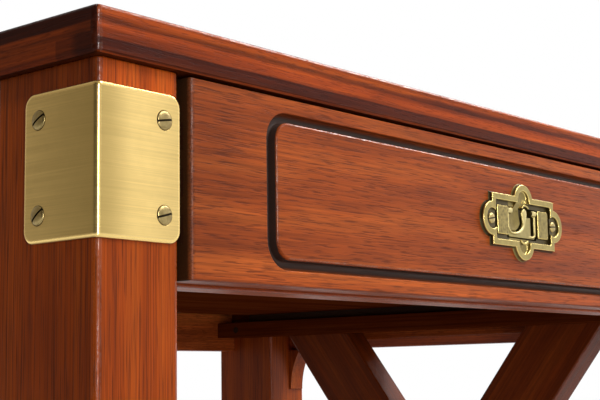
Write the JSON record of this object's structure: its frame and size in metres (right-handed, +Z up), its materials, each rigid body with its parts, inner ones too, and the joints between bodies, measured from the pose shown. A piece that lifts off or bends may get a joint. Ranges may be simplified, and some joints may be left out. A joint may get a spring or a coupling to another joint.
{
  "type": "campaign desk",
  "caption": "Small campaign writing desk with crossed braces in its ends, angle brackets on the corners and a full-width drawer with a flush swing-bail pull.",
  "frame": {"origin": "on the floor, under the middle of the desk", "axes": "+X to the desk's right along its length, +Y to the back, +Z up; the drawer opens towards -Y"},
  "size_m": [0.77, 0.613, 0.76],
  "materials": {
    "case_wood": "satin reddish brown stain, open grain",
    "drawer_wood": "plain planed wood under thin shellac",
    "bracket_brass": "aged brass, dull lacquer",
    "pull_brass": "antique brass, dark in the hollows",
    "bracket_screw_brass": "aged brass",
    "screw_steel": "plain steel",
    "glide_steel": "nickelled steel"
  },
  "bodies": {
    "desk": {"top_panel": "case_wood", "front_top_lipping": "case_wood", "back_top_lipping": "case_wood", "left_top_lipping": "case_wood", "right_top_lipping": "case_wood", "front_left_leg": "case_wood", "front_right_leg": "case_wood", "rear_left_leg": "case_wood", "rear_right_leg": "case_wood", "left_end_rail": "case_wood", "right_end_rail": "case_wood", "back_rail": "case_wood", "front_top_rail": "case_wood", "front_lower_rail": "case_wood", "left_rising_brace": "case_wood", "left_falling_brace": "case_wood", "right_rising_brace": "case_wood", "right_falling_brace": "case_wood", "knee_blocks": "case_wood", "left_runner": "drawer_wood", "right_runner": "drawer_wood", "left_kicker": "drawer_wood", "right_kicker": "drawer_wood", "front_left_bracket": "bracket_brass", "front_right_bracket": "bracket_brass", "rear_left_bracket": "bracket_brass", "rear_right_bracket": "bracket_brass", "bracket_screws": "bracket_screw_brass", "runner_screws": "screw_steel", "top_screws": "screw_steel", "brace_screws": "screw_steel", "lap_screws": "screw_steel", "foot_glides": "glide_steel"},
    "drawer": {"drawer_front": "case_wood", "drawer_left_side": "drawer_wood", "drawer_right_side": "drawer_wood", "drawer_back": "drawer_wood", "drawer_bottom": "drawer_wood", "drawer_bottom_screws": "screw_steel", "pull_plate": "pull_brass", "pull_screws": "pull_brass", "bail_pins": "pull_brass"},
    "bail": {"pull_bail": "pull_brass"}
  },
  "joints": [
    {"name": "drawer_slide", "type": "slide", "parent": "desk", "child": "drawer", "axis": [0, -1, 0], "range_m": [0, 0.36]},
    {"name": "bail_hinge", "type": "hinge", "parent": "drawer", "child": "bail", "pos_m": [0, -0.3043, 0.691], "axis": [-1, 0, 0], "range_deg": [0, 95]}
  ]
}
